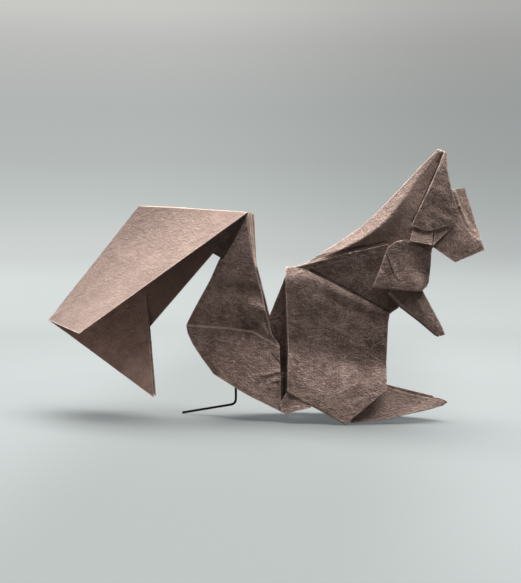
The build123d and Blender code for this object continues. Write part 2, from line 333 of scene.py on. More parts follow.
class Graph:
    """A small writer of a material's nodes: each call adds a node and links or sets its inputs."""

    def __init__(self, name):
        self.material = bpy.data.materials.new(name)
        self.material.use_nodes = True
        self.tree = self.material.node_tree
        self.tree.nodes.clear()
        self.place = self.node("ShaderNodeTexCoord").outputs["Object"]

    def node(self, kind, inputs=None, **settings):
        made = self.tree.nodes.new(kind)
        for key, value in settings.items():
            setattr(made, key, value)
        for key, value in (inputs or {}).items():
            if isinstance(value, bpy.types.NodeSocket):
                self.tree.links.new(value, made.inputs[key])
            else:
                made.inputs[key].default_value = value
        return made

    def maths(self, operation, first, second=0.0, third=0.0):
        return self.node("ShaderNodeMath", {0: first, 1: second, 2: third}, operation=operation).outputs[0]

    def scaled(self, vector, amount):
        return self.node("ShaderNodeVectorMath", {0: vector, "Scale": amount}, operation="SCALE").outputs[0]

    def band(self, value, low, high, out_low=0.0, out_high=1.0):
        made = self.node(
            "ShaderNodeMapRange",
            {"Value": value, "From Min": low, "From Max": high, "To Min": out_low, "To Max": out_high},
            interpolation_type="SMOOTHSTEP",
        )
        return made.outputs["Result"]

    def noise(self, vector, scale, detail=2.0, roughness=0.5, distortion=0.0):
        made = self.node(
            "ShaderNodeTexNoise",
            {"Vector": vector, "Scale": scale, "Detail": detail, "Roughness": roughness,
             "Distortion": distortion},
        )
        return made.outputs["Fac"]

    def mix(self, amount, first, second):
        # Sockets 6, 7 and 2 are the two colours and their mix
        made = self.node("ShaderNodeMix", {"Factor": amount, 6: first, 7: second}, data_type="RGBA")
        return made.outputs[2]

    def in_millimetres(self, turn=0.0, shift=0.0):
        """The object's own coordinates in millimetres, turned by some degrees about the side axis."""
        settings = {
            "Vector": self.place, "Rotation": (0.0, math.radians(turn), 0.0),
            "Scale": (1000.0, 1000.0, 1000.0), "Location": (shift, shift * 0.7, -shift),
        }
        return self.node("ShaderNodeMapping", settings).outputs["Vector"]

    def finished(self, inputs):
        """Ends the graph with one surface and gives back the material."""
        surface = self.node("ShaderNodeBsdfPrincipled", inputs)
        self.node("ShaderNodeOutputMaterial", {"Surface": surface.outputs[0]})
        return self.material


def fibrous_paper(name, turn=0.0, shift=0.0, tone=1.0, rough=1.0, foot_painted_light=1.0, foot_heights=(28.0, 56.0)):
    """Handmade paper in the object's own coordinates, counted in millimetres.

    Clouds of pulp 3 to 6 mm wide, short fibres laid along one direction, a fine grain, a few long
    light fibres, folds and cut edges made pale, partly as rubbed wear and partly as painted highlight,
    and dark lines of painted shade where layers meet. turn is the fibres' direction in degrees, and
    shift moves the pattern. rough scales the relief and the difference between pulp and hollows.
    The colour is scaled below the first of foot_heights, and less and less up to the second: a scale
    above one paints bounce light from the floor, and one below one paints shade.
    """
    paper = bpy.context.scene.squirrel_paper
    g = Graph(name)
    lay = g.in_millimetres(turn, shift)

    def laid(angle, stretch):
        """Coordinates turned by some degrees about the side axis, and then stretched."""
        spun = g.node("ShaderNodeMapping", {"Vector": lay, "Rotation": (0.0, math.radians(angle), 0.0)})
        made = g.node("ShaderNodeVectorMath", {0: spun.outputs[0], 1: stretch}, operation="MULTIPLY")
        return made.outputs[0]

    # Relief: clouds, blots, fibres laid two ways and grain
    clouds = g.noise(lay, 0.2, 2.0, 0.6, 0.4)
    blots = g.noise(laid(0.0, (0.62, 1.0, 1.0)), 0.85, 2.0, 0.55, 0.5)
    along_fibres = g.noise(laid(-13.0, (0.66, 1.2, 1.4)), 1.15, 3.0, 0.62, 0.6)
    cross_fibres = g.noise(laid(37.0, (0.62, 1.2, 1.4)), 1.2, 3.0, 0.62, 0.6)
    fibres = g.maths("MAXIMUM", along_fibres, g.maths("SUBTRACT", cross_fibres, 0.06))
    grain = g.noise(laid(8.0, (0.75, 1.0, 1.0)), 2.3, 3.0, 0.7, 0.2)
    height = g.maths("MULTIPLY_ADD", blots, 0.3, g.maths("MULTIPLY", grain, 0.38))
    height = g.maths("MULTIPLY_ADD", fibres, 0.32, height)

    # Hairs: thin contour lines of a stretched noise, in patches
    waves = g.noise(laid(0.0, (0.3, 0.7, 0.7)), 0.62, 2.0, 0.5, 1.2)
    contour = g.maths("ABSOLUTE", g.maths("SUBTRACT", waves, 0.5))
    patches = g.band(g.noise(lay, 0.45, 1.0), 0.45, 0.55)
    hairs = g.maths("MULTIPLY", g.band(contour, 0.018, 0.005), patches)

    # Colour: hollows, pulp and light fibres, with stains, and painted light at the piece's foot: bounce light
    # from the floor where its scale is above one, shade where it is below one
    cover = g.maths("MULTIPLY_ADD", clouds, 0.3, g.maths("MULTIPLY", height, 0.7))
    hollow = [p + (c - p) * rough for c, p in zip(paper.hollow_colour, paper.paper_colour)]
    pale = tinted(paper.fibre_colour, tone)
    colour = g.mix(g.band(cover, 0.42, 0.6), tinted(hollow, tone), tinted(paper.paper_colour, tone))
    colour = g.mix(g.band(height, 0.57, 0.7, 0.0, 0.28 * rough), colour, pale)
    colour = g.mix(g.maths("MULTIPLY", hairs, min(0.6, 0.6 * rough)), colour, pale)
    even = 0.25 + 0.5 * rough
    wide_stain = g.noise(lay, 0.12, 1.0, 0.5, 0.5)
    small_stain = g.noise(lay, 0.36, 2.0, 0.6, 0.3)
    stain = g.maths("MULTIPLY", g.band(wide_stain, 0.32, 0.68, 1 - 0.12 * even, 1 + 0.08 * even),
                    g.band(small_stain, 0.3, 0.7, 1 - 0.09 * even, 1 + 0.07 * even))
    above = g.maths("MULTIPLY", g.node("ShaderNodeSeparateXYZ", {0: g.place}).outputs[2], 1000.0)
    # Stains, and painted light near the floor: bounce light above one, painted shade below one
    colour = g.scaled(colour, g.maths("MULTIPLY", stain, g.band(above, *foot_heights, foot_painted_light, 1.0)))

    # Wear and painted highlight: cut edges, folds and pale lines turn pale, partly as rubbed wear and partly
    # as painted highlight; and painted shade turns the lines where layers meet, and the creases, dark
    edge, fold, shade_distance = (g.node("ShaderNodeAttribute", attribute_name=mark).outputs["Fac"] for mark in MARKS)
    # Pale cut edges and folds: partly rubbed wear, partly painted highlight
    wear_and_highlight = g.maths("MAXIMUM", g.band(edge, 0.42, 0.05, 0.0, 0.6), g.band(fold, 0.48, 0.16))
    wear_and_highlight = g.maths("MULTIPLY", wear_and_highlight, g.band(g.noise(lay, 0.55, 2.0), 0.3, 0.65, 0.55, 1.0))
    colour = g.mix(wear_and_highlight, colour, tinted(paper.fibre_colour, tone * 1.08))
    # Painted shade: the colour falls to 0.16 of itself along the dark lines
    colour = g.mix(g.band(shade_distance, 0.34, 0.0), colour, g.scaled(colour, 0.16))

    relief = g.maths("MULTIPLY_ADD", hairs, 0.1, g.maths("MULTIPLY_ADD", clouds, 0.6, height))
    bump = g.node("ShaderNodeBump", {"Height": relief, "Strength": 1.0, "Distance": 0.0008 * rough})
    return g.finished({
        "Base Color": colour, "Roughness": g.band(height, 0.3, 0.7, 0.97, 0.86),
        "Normal": bump.outputs["Normal"], "Specular IOR Level": 0.14, "Sheen Weight": 0.05,
        "Sheen Roughness": 0.6, "Sheen Tint": (1.0, 0.93, 0.88, 1.0),
    })


def black_lacquer(name):
    """Black lacquered wire with a slightly uneven gloss."""
    wire_colour = bpy.context.scene.squirrel_paper.wire_colour
    g = Graph(name)
    coat = g.noise(g.in_millimetres(), 1.4, 3.0, 0.6)
    colour = g.mix(g.band(coat, 0.45, 0.7), tinted(wire_colour), tinted([c + 0.004 for c in wire_colour]))
    bump = g.node("ShaderNodeBump", {"Height": coat, "Strength": 0.25, "Distance": 0.00005})
    return g.finished({
        "Base Color": colour, "Roughness": g.band(coat, 0.3, 0.7, 0.4, 0.55),
        "Normal": bump.outputs["Normal"], "Specular IOR Level": 0.16, "Coat Weight": 0.03,
        "Coat Roughness": 0.2,
    })


def seamless(name):
    """A pale seamless studio floor that runs up into its backdrop.

    Formula: its glow, painted light that stands for the studio's light on the floor and backdrop, is a
    ramp over way, the distance from the middle (1 m at most) plus the height. The glow is painted darker
    to the right and farther out, and painted lighter within 0.24 m of the middle, to both sides of it,
    over the tail's shadow and the floor beside it.
    """
    floor_colour = bpy.context.scene.squirrel_stage.floor_colour
    g = Graph(name)
    along, depth, height = g.node("ShaderNodeSeparateXYZ", {0: g.place}).outputs
    out = g.maths("SQRT", g.maths("MULTIPLY_ADD", along, along, g.maths("MULTIPLY", depth, depth)))
    way = g.maths("ADD", g.maths("MINIMUM", out, 1.0), height)
    glow = g.node("ShaderNodeValToRGB", {"Fac": g.maths("DIVIDE", way, 1.5)})
    # Each stop is a share of 1.5 m, and the floor colour's parts of painted glow there
    stops = (
        (0.067, (0.21, 0.206, 0.21)), (0.107, (0.26, 0.256, 0.26)), (0.193, (0.47, 0.462, 0.458)),
        (0.373, (0.68, 0.662, 0.656)), (0.671, (0.875, 0.833, 0.833)), (0.701, (0.73, 0.725, 0.705)),
        (0.737, (0.665, 0.643, 0.633)), (0.787, (0.65, 0.625, 0.622)), (0.815, (0.69, 0.65, 0.637)),
        (0.857, (0.79, 0.72, 0.705)), (0.892, (0.925, 0.845, 0.815)),
    )
    ramp = glow.color_ramp.elements
    for number, (spot, parts) in enumerate(stops):
        stop = ramp[0] if number == 0 else ramp.new(spot)
        stop.position = spot
        stop.color = tinted(c * part for c, part in zip(floor_colour, parts))
    ramp.remove(ramp[-1])
    dim = g.maths("MULTIPLY", g.band(along, -0.35, 0.25), g.band(way, 0.0, 0.4, 0.03, 0.3))
    # Painted light: the glow is lifted over the tail's shadow and the floor beside the middle
    beside = g.band(g.maths("ABSOLUTE", along), 0.025, 0.072)
    light = g.maths("MULTIPLY", beside, g.band(out, 0.24, 0.1, 0.0, 0.85))
    shine = g.scaled(glow.outputs["Color"], g.maths("ADD", g.maths("SUBTRACT", 1.0, dim), light))
    return g.finished({
        "Base Color": tinted(floor_colour, 0.23), "Roughness": 0.8, "Specular IOR Level": 0.2,
        "Emission Color": shine, "Emission Strength": 1.0,
    })


# The tail's corners, with the rump's apex and spine, which its gusset joins

TAIL_TIP = (-74.6, 8.0, 27.6)
RIDGE_REAR = (-46.3, 12.0, 63.2)
RIDGE_FRONT = (-10.9, -1.0, 61.5)
NEAR_CORNER = (-59.1, -14.0, 26.2)
FAR_CORNER = (-53.6, 8.6, 13.2)
INNER_TIP = (-39.4, -0.6, 5.5)
APEX = (-9.9, 0.0, 61.2)
SPINE = (-29.9, 0.0, 27.3)


def between(a, b, share):
    """The corner part of the way from one corner to another."""
    return tuple(x + (y - x) * share for x, y in zip(a, b))


def shifted(a, reach=0.0, side=0.0, height=0.0):
    """A corner moved a little."""
    return (a[0] + reach, a[1] + side, a[2] + height)


# The squirrel's parts


class SQUIRREL_OT_fold_tail(bpy.types.Operator):
    """Fold the hood-shaped tail: two outer panels over one ridge, a double inner triangle and a gusset"""

    bl_idname = "squirrel.fold_tail"
    bl_label = "Fold tail"

    def execute(self, context):
        radius = context.scene.squirrel_paper.fold_radius
        near_tip, far_tip = shifted(TAIL_TIP, side=-0.2), shifted(TAIL_TIP, side=0.25)
        # Rows run from the near panel's lower edge over the ridge to the far panel's lower edge
        outer = sheet(
            [
                [near_tip, NEAR_CORNER],
                [shifted(between(near_tip, RIDGE_REAR, 0.1), 0.35, 0.3),
                 between(NEAR_CORNER, RIDGE_FRONT, 0.075)],
                [RIDGE_REAR, RIDGE_FRONT],
                [far_tip, FAR_CORNER],
            ],
            rounds={1: 1.4, 2: 2 * radius}, folds=(2,), seed=11, lift=0.25,
        )
        # The tail's lower part is painted darker with painted shade, down to 0.78 at its foot
        paper = fibrous_paper("tail paper", turn=4.0, shift=3.0, tone=0.98, rough=0.5, foot_painted_light=0.78)
        piece("tail_hood", [outer], paper)
        # The inner triangle is two layers, whose blunt tips lie a lap apart
        lap = (0.6, 0.6, 0.3)
        blunt = [shifted(INNER_TIP, reach=-1.1, height=0.5), shifted(INNER_TIP, reach=-0.4)]
        second = [shifted(corner, *lap) for corner in blunt]
        lining = sheet(
            [[RIDGE_REAR, blunt[1]], [shifted(TAIL_TIP, 0.3, 0.3), blunt[0]]],
            seed=12, cockle_height=0.2,
        )
        behind = sheet(
            [[shifted(RIDGE_REAR, side=0.4), second[1]], [shifted(TAIL_TIP, 0.4, 0.75), second[0]]],
            seed=13, cockle_height=0.1,
        )
        paper = fibrous_paper("tail lining paper", turn=35.0, shift=21.0, tone=1.15, rough=0.8)
        piece("tail_lining", [lining, behind], paper)
        gusset_near = between(RIDGE_FRONT, NEAR_CORNER, 0.285)
        gusset_drop = 14.0
        gusset_spine = between(APEX, SPINE, gusset_drop / (APEX[2] - SPINE[2]))
        gusset = sheet([[RIDGE_FRONT, RIDGE_FRONT], [shifted(gusset_near, side=0.3), gusset_spine]], seed=14)
        # The gusset is painted dark, at 0.42 of the paper's tone: painted shade under the hood
        piece("tail_gusset", [gusset], fibrous_paper("gusset paper, painted shade", turn=-20.0, shift=8.0, tone=0.42))
        return {"FINISHED"}


# Rump: rows run from the apex down to the seat, and columns from the front edge to the spine
RUMP = [
    [(-11.5, -0.5, 60.9), (-11.8, -0.3, 61.1), (-12.1, 0.0, 61.0)],
    [(-10.3, -1.7, 52.6), (-13.4, -1.3, 52.6), (-16.4, 0.0, 52.9)],
    [(-9.0, -2.5, 46.6), (-14.5, -1.85, 46.8), (-19.9, 0.0, 47.0)],
    [(-7.7, -2.9, 41.5), (-15.2, -2.1, 41.2), (-22.5, 0.0, 41.2)],
    [(-5.2, -3.3, 31.2), (-16.0, -2.05, 31.5), (-27.7, 0.0, 31.8)],
    [(-3.6, -3.5, 25.4), (-9.3, -2.5, 26.1), (-29.8, 0.0, 27.6)],
    [(-1.3, -4.0, 22.1), (-9.3, -2.6, 24.2), (-29.4, -0.1, 25.2)],
    [(-1.1, -4.8, 16.9), (-10.6, -3.8, 19.2), (-27.8, -0.55, 21.9)],
    [(-0.8, -5.7, 12.8), (-11.0, -4.9, 14.4), (-25.0, -1.5, 18.0)],
    [(-0.7, -6.8, 4.9), (-10.4, -6.1, 9.0), (-21.3, -2.7, 13.5)],
    [(0.5, -7.1, 2.6), (-10.5, -6.4, 7.6), (-21.1, -2.8, 13.2)],
]
RUMP_CREASES = [
    ((-4.1, -4.6, 20.6), (-1.1, -5.0, 16.9), -0.3, 0.35),
    ((-6.9, -3.5, 24.4), (-4.1, -4.6, 20.6), -0.25, 0.35),
    ((-9.0, -4.6, 12.4), (-1.5, -5.5, 14.8), 0.3, 0.55),
    ((-7.5, -4.8, 10.4), (-1.2, -5.8, 12.2), 0.26, 0.5),
    ((-12.5, -4.4, 8.6), (-3.0, -5.6, 10.4), 0.2, 0.8),
    ((-9.5, -2.9, 34.0), (-5.6, -3.2, 32.6), 0.3, 0.8),
    ((-9.0, -2.6, 29.5), (-5.2, -3.2, 31.8), 0.2, 0.5),
    ((-15.0, -2.1, 38.6), (-7.2, -3.0, 36.5), -0.45, 2.2),
]
# Pale lines on the rump, partly rubbed wear and partly painted highlight
RUMP_LIGHT_LINES = [
    [(-29.4, 0.0, 27.5), (-17.8, -1.6, 27.0), (-9.3, -2.7, 26.1), (-5.7, -3.4, 24.1), (-1.4, -4.1, 21.9)],
    [(-6.1, -3.3, 28.5), (-5.2, -3.5, 26.6), (-4.8, -3.6, 25.6)],
]
# Painted shade: dark lines in the rump's crease and along its rear edge
RUMP_SHADE_LINES = [
    [(-3.6, -4.3, 20.0), (-1.1, -4.8, 16.9)],
    [(-30.0, 0.0, 26.9), (-29.6, -0.1, 25.1), (-28.0, -0.5, 21.8), (-25.2, -1.5, 17.9)],
]
# Heel: where the rump goes in under the haunch, close to the floor
HEEL = [
    [(-0.8, -6.6, 5.4), (0.9, -7.2, 8.6), (4.0, -7.9, 7.4), (8.5, -8.7, 5.2)],
    [(-0.3, -8.1, 3.4), (0.5, -8.5, 2.6), (4.0, -9.2, 3.7), (8.4, -8.95, 4.9)],
]
# Three plates, each a row along its front edge and one behind it
FRONT_LAYERS = [
    [[(-10.8, -0.3, 61.1), (-9.8, -1.0, 52.9), (-8.8, -1.5, 45.8)],
     [(-12.4, -0.1, 60.2), (-12.4, -0.3, 52.9), (-11.5, -0.7, 45.8)]],
    [[(-10.1, 0.0, 61.3), (-9.35, -0.6, 52.9), (-8.65, -1.0, 45.4)],
     [(-12.2, 0.1, 60.4), (-12.2, 0.0, 52.9), (-11.5, 0.0, 45.4)]],
    [[(-9.3, 0.45, 61.0), (-8.95, 0.2, 52.9), (-8.5, 0.0, 45.0)],
     [(-12.0, 0.5, 60.2), (-12.0, 0.5, 52.9), (-11.5, 0.7, 45.0)]],
]


class SQUIRREL_OT_fold_rump(bpy.types.Operator):
    """Fold the rump, a tent of two creased sides on a sloping spine, with layer edges fanned at the front"""

    bl_idname = "squirrel.fold_rump"
    bl_label = "Fold rump"

    def execute(self, context):
        shells = []
        for side, seed in ((NEAR, 21), (FAR, 22)):
            shells.append(sheet(
                turned(RUMP, side), rounds={4: 3.0, 5: 0.3, 6: 0.3}, column_rounds={1: 3.0}, seed=seed,
                wear_and_highlight_lines=[turned(line, side) for line in RUMP_LIGHT_LINES],
                gaps=[turned(line, side) for line in RUMP_SHADE_LINES],
                wrinkles=turned_wrinkles(RUMP_CREASES, side), cockle_height=0.24, step=0.35,
            ))
        shells += [sheet(turned(HEEL, side), seed=24, cockle_height=0.05, step=0.5) for side in (NEAR, FAR)]
        # The rump's lower part is painted lighter: painted bounce light from the floor
        paper = fibrous_paper("rump paper", turn=-8.0, shift=40.0, tone=1.1, rough=1.5,
                              foot_painted_light=1.16, foot_heights=(19.0, 27.0))
        piece("rump_sides", shells, paper)
        layers = [sheet(rows, wear_and_highlight_lines=[rows[0]], seed=30 + number, cockle_height=0.06, step=0.4)
                  for number, rows in enumerate(FRONT_LAYERS)]
        # The layers are painted 1.6 times as light: painted light on their fanned edges
        piece("rump_layers", layers, fibrous_paper("layer paper, painted light", turn=80.0, shift=14.0, tone=1.6, rough=0.8))
        seat = sheet(
            [[(-29.6, -0.15, 27.0), (-21.1, -2.4, 13.4)], [(-29.6, 0.0, 26.9), (-21.2, 0.0, 13.2)],
             [(-29.6, 0.15, 27.0), (-21.1, 2.4, 13.4)]],
            rounds={1: 0.4}, seed=36, cockle_height=0.05,
        )
        # The seat is painted dark, at half the paper's tone: painted shade under the rump
        piece("rump_seat", [seat], fibrous_paper("seat paper, painted shade", shift=5.0, tone=0.5))
        return {"FINISHED"}


def leaf(reach, height, out=0.0):
    """A corner on the sloping plane that the torso lies on, or a little outside it."""
    return (reach, -(1.54 + 0.07 * reach) - out, height)


# Body: the keel inside the rump, and the narrow strip in the slit between rump and haunch
BODY_REAR = [
    [(-22.0, -0.2, 25.0), leaf(-4.9, 30.0), leaf(0.2, 42.6)],
    [(-22.0, -0.2, 20.0), (-4.9, -1.0, 20.5), (0.7, -1.2, 22.0)],
    [(-22.0, -0.2, 16.0), (-5.0, -0.3, 12.0), (1.2, -0.3, 5.0)],
]
BODY_STRIP = [
    [(-0.7, -3.4, 14.2), (0.05, -3.6, 14.2), (0.75, -3.4, 14.2)],
    [(-0.5, -3.6, 9.0), (0.05, -4.3, 9.0), (0.6, -3.6, 9.0)],
    [(-0.3, -3.8, 4.2), (0.1, -4.9, 4.2), (0.5, -3.8, 4.2)],
]
# Torso: rows run from behind the top edge over it, in under the haunch's edge and down to the keel
TORSO = [
    [(0.8, -1.2, 43.0), (4.9, -1.9, 44.0), (17.2, -2.9, 47.6), (29.6, -3.7, 50.6), (36.4, -3.5, 41.6)],
    [(0.6, -1.568, 44.4), leaf(4.5, 45.9, 0.1), leaf(17.0, 49.4, 0.4), leaf(30.2, 52.5, 0.3),
     leaf(37.0, 42.0)],
    [(0.5, -1.2, 43.6), (4.5, -1.4, 44.8), (17.0, -2.7, 39.4), (30.5, -3.3, 32.8), (34.5, -3.6, 36.0)],
    [leaf(0.4, 20.0), leaf(4.5, 21.0), leaf(17.0, 25.0), leaf(30.9, 32.0), leaf(33.4, 33.8)],
    [leaf(0.5, 19.0), leaf(4.5, 20.0), leaf(17.0, 24.0), leaf(29.0, 30.4), leaf(29.6, 31.1)],
    [leaf(0.6, 8.0), leaf(4.5, 8.0), leaf(17.0, 8.0), leaf(28.4, 8.0), leaf(28.6, 8.4)],
]
# Painted shade: the dark line where the torso goes in under the haunch
HAUNCH_SHADE_LINE = [(7.4, -2.0, 44.9), (18.2, -2.7, 39.5), (30.9, -3.4, 32.6)]


class SQUIRREL_OT_fold_body(bpy.types.Operator):
    """Fold the body's two inner layers, from the keel inside the rump to the breast under the arm"""

    bl_idname = "squirrel.fold_body"
    bl_label = "Fold body"

    def execute(self, context):
        shells = []
        for side, rear_seed, torso_seed in ((NEAR, 41, 43), (FAR, 42, 44)):
            strip = turned(BODY_STRIP, side)
            shells.append(sheet(turned(BODY_REAR, side), seed=rear_seed, cockle_height=0.08))
            # Painted shade down the middle of the strip, deep in the slit
            shells.append(sheet(strip, gaps=[strip[:, 1]], seed=45, cockle_height=0.0, step=0.4))
            shells.append(sheet(turned(TORSO, side), rounds={1: 0.5}, folds=(1,),
                                gaps=[turned(HAUNCH_SHADE_LINE, side)], seed=torso_seed, step=0.4))
        piece("body_layers", shells, fibrous_paper("body paper", turn=30.0, shift=60.0, rough=1.4))
        return {"FINISHED"}


# Haunch: rows run from inside the top edge over it and down to the hem, and columns from the rear edge on
HAUNCH = [
    [(0.5, -0.4, 45.0), (5.3, -0.4, 45.2), (7.6, -1.4, 42.2), (17.9, -1.9, 36.0), (29.4, -2.6, 29.8)],
    [(0.3, -1.8, 45.3), (5.4, -1.8, 45.4), (7.4, -2.2, 44.3), (18.2, -3.1, 38.9), (30.9, -3.7, 32.1)],
    [(0.3, -3.4, 42.5), (5.6, -3.2, 42.9), (7.6, -3.2, 42.4), (18.15, -3.8, 37.4), (30.85, -4.0, 31.2)],
    [(0.4, -3.6, 40.0), (5.7, -3.5, 39.8), (7.8, -3.5, 38.9), (18.2, -3.8, 34.0), (30.5, -3.95, 29.6)],
    [(1.1, -4.2, 23.0), (6.4, -4.2, 22.8), (8.4, -4.2, 22.6), (18.3, -4.3, 20.6), (30.1, -4.4, 18.0)],
    [(1.2, -4.5, 20.8), (6.4, -4.6, 20.4), (8.5, -4.6, 20.2), (18.4, -4.7, 18.0), (30.1, -4.8, 15.8)],
    [(1.3, -7.1, 14.2), (6.5, -7.4, 13.2), (8.6, -7.6, 12.7), (18.4, -8.0, 11.0), (30.2, -6.9, 12.4)],
    [(1.35, -7.8, 8.9), (6.6, -8.6, 6.2), (8.7, -8.9, 5.1), (18.4, -10.4, 0.15), (30.3, -7.8, 10.0)],
    [(2.6, -6.3, 9.2), (7.4, -7.0, 7.0), (9.2, -7.2, 5.9), (18.4, -8.4, 2.6), (28.9, -6.4, 10.4)],
]
HAUNCH_CREASES = [
    ((17.0, -4.4, 25.5), (27.0, -4.4, 21.5), 0.05, 0.35), ((9.0, -6.6, 13.0), (16.0, -5.6, 17.0), 0.1, 2.5),
    ((4.0, -3.6, 38.0), (14.0, -3.9, 33.0), -0.15, 2.0), ((12.0, -3.7, 36.6), (26.0, -3.9, 30.4), 0.12, 1.6),
]
# The folded corner behind the haunch's top, painted dark as shade
CORNER_NUB = [
    [(0.4, -3.1, 42.6), (-0.2, -3.1, 41.2), (0.3, -3.1, 40.5)],
    [(0.6, -2.2, 42.6), (-0.2, -2.0, 41.2), (0.5, -2.2, 40.5)],
]


class SQUIRREL_OT_fold_haunches(bpy.types.Operator):
    """Fold the two broad haunches, which bend softly outwards and stand on their lowest corners"""

    bl_idname = "squirrel.fold_haunches"
    bl_label = "Fold haunches"

    def execute(self, context):
        shells = []
        for side, seed in ((NEAR, 51), (FAR, 52)):
            rows = turned(HAUNCH, side)
            shells.append(sheet(
                rows, rounds={1: 1.0, 2: 1.2, 3: 3.0, 4: 1.0, 5: 1.6, 6: 2.6, 7: 0.45},
                column_rounds={1: 0.8, 2: 0.8}, folds=(7,), wear_and_highlight_lines=[rows[1:6, 0], rows[1, 1:4]], seed=seed,
                wrinkles=turned_wrinkles(HAUNCH_CREASES, side),
            ))
        saddle = sheet(
            [[(0.7, -1.9, 44.8), (5.4, -1.7, 44.9)], [(0.7, 1.9, 44.8), (5.4, 1.7, 44.9)]],
            seed=53, cockle_height=0.12,
        )
        # The haunch's lower part is painted lighter: painted bounce light from the floor
        paper = fibrous_paper("haunch paper", turn=2.0, shift=90.0, tone=1.07, rough=1.5,
                              foot_painted_light=1.3, foot_heights=(13.0, 22.0))
        piece("haunches", shells + [saddle], paper)
        nubs = [sheet(turned(CORNER_NUB, side), seed=54, cockle_height=0.0, step=0.4) for side in (NEAR, FAR)]
        # The corners are painted dark, at 0.45 of the paper's tone: painted shade
        piece("haunch_corners", nubs, fibrous_paper("corner paper, painted shade", shift=11.0, tone=0.45))
        return {"FINISHED"}


# Neck: four lines from the withers to the ear's tip, from the ridge down to the cheek's lower edge
NECK_RIDGE = [
    (4.4, 0.0, 45.2), (13.8, 0.0, 51.4), (21.7, 0.0, 56.9), (27.8, 0.0, 62.2), (34.2, 0.0, 68.9),
    (36.0, 0.0, 71.0), (40.0, 0.0, 75.4), (44.4, 0.0, 79.9), (46.5, 0.0, 79.0),
]
NAPE = [
    (5.0, -0.8, 44.8), (15.4, -2.6, 49.9), (23.3, -3.5, 54.1), (30.0, -3.9, 59.2), (35.6, -2.6, 66.6),
    (37.0, -1.6, 69.2), (40.9, -0.8, 74.2), (44.9, -0.5, 79.2), (46.6, -0.6, 78.6),
]
NECK_VALLEY = [
    (5.5, -0.7, 44.2), (15.4, -1.9, 48.4), (23.5, -2.6, 51.6), (31.5, -3.2, 55.4), (36.3, -2.5, 60.2),
    (38.0, -2.2, 63.0), (41.2, -1.0, 69.0), (44.8, -0.45, 76.6), (46.8, -0.4, 76.0),
]
CHEEK_EDGE = [
    (6.0, -0.5, 43.6), (15.5, -1.3, 46.6), (24.0, -2.0, 48.6), (32.0, -2.9, 50.2), (36.0, -3.4, 50.6),
    (38.5, -3.6, 50.6), (41.5, -3.7, 50.6), (44.0, -3.7, 51.8), (48.5, -2.6, 62.0),
]
# Painted shade: dark lines along the strip under the neck, above it, at the ear's tip and behind the ear
NECK_SHADE_LINES = [
    [(5.0, -1.0, 46.4), (10.0, -1.2, 48.0), (17.0, -1.7, 50.0), (30.0, -2.9, 53.3)],
    [(8.0, -1.0, 47.9), (17.0, -1.7, 50.5), (24.0, -2.2, 52.2)],
    [(45.7, -0.6, 79.0), (45.0, -0.8, 77.6), (44.3, -1.0, 76.2)],
    [(44.95, -1.0, 76.2), (41.85, -2.0, 68.9), (37.15, -3.0, 58.8)],
]
# Breast: the flat layer below the neck, which the arm covers
BREAST = [
    [(30.2, -3.3, 46.0), (37.0, -3.9, 52.6), (43.2, -3.85, 52.6)],
    [(31.0, -3.5, 36.5), (37.0, -3.9, 41.0), (41.8, -3.9, 44.0)],
]


class SQUIRREL_OT_fold_neck(bpy.types.Operator):
    """Fold the neck, a ridge with a facet on either side that turns down into a flat cheek"""

    bl_idname = "squirrel.fold_neck"
    bl_label = "Fold neck"

    def execute(self, context):
        down = (NAPE, NECK_VALLEY, CHEEK_EDGE)
        rows = [*reversed(down), NECK_RIDGE, *(turned(line, FAR) for line in down)]
        hood = sheet(
            rows, rounds={1: 0.6, 2: 0.6, 3: 0.4, 4: 0.6, 5: 0.6},
            column_rounds={1: 3.0, 2: 3.0, 3: 3.0, 4: 1.0, 5: 1.0, 6: 2.0, 7: 0.3},
            folds=(3,), gaps=NECK_SHADE_LINES, seed=61, cockle_height=0.16, step=0.4,
            wrinkles=[((33.0, -3.3, 56.0), (38.5, -3.0, 63.0), 0.15, 1.2)],
        )
        cheeks = [sheet(turned(BREAST, side), seed=62) for side in (NEAR, FAR)]
        paper = fibrous_paper("neck paper", turn=-42.0, shift=33.0, tone=1.05, rough=0.9)
        piece("neck", [hood] + cheeks, paper)
        return {"FINISHED"}


# Head: in each net rows run from the top down, and columns from the rear on
FOREHEAD = [
    [(48.4, -1.6, 68.0), (50.4, -0.8, 68.4), (52.2, 0.0, 68.5)],
    [(49.8, -2.1, 63.0), (51.6, -1.3, 64.0), (53.6, -0.1, 64.2)],
    [(51.8, -2.5, 58.2), (53.3, -1.6, 59.0), (55.3, -0.2, 58.8)],
    [(54.7, -2.4, 54.4), (55.7, -1.6, 55.4), (56.6, -0.6, 55.2)],
    [(56.6, -2.6, 53.4), (56.75, -2.0, 53.9), (56.9, -1.4, 54.1)],
]
FOREHEAD_BENDS = [
    ((49.3, -1.4, 67.2), (50.6, -1.8, 63.2), -0.3, 0.45),
    ((50.6, -1.8, 63.2), (53.0, -2.15, 57.8), -0.3, 0.45),
    ((52.2, -1.1, 62.4), (54.8, -1.3, 57.2), 0.18, 0.6),
]
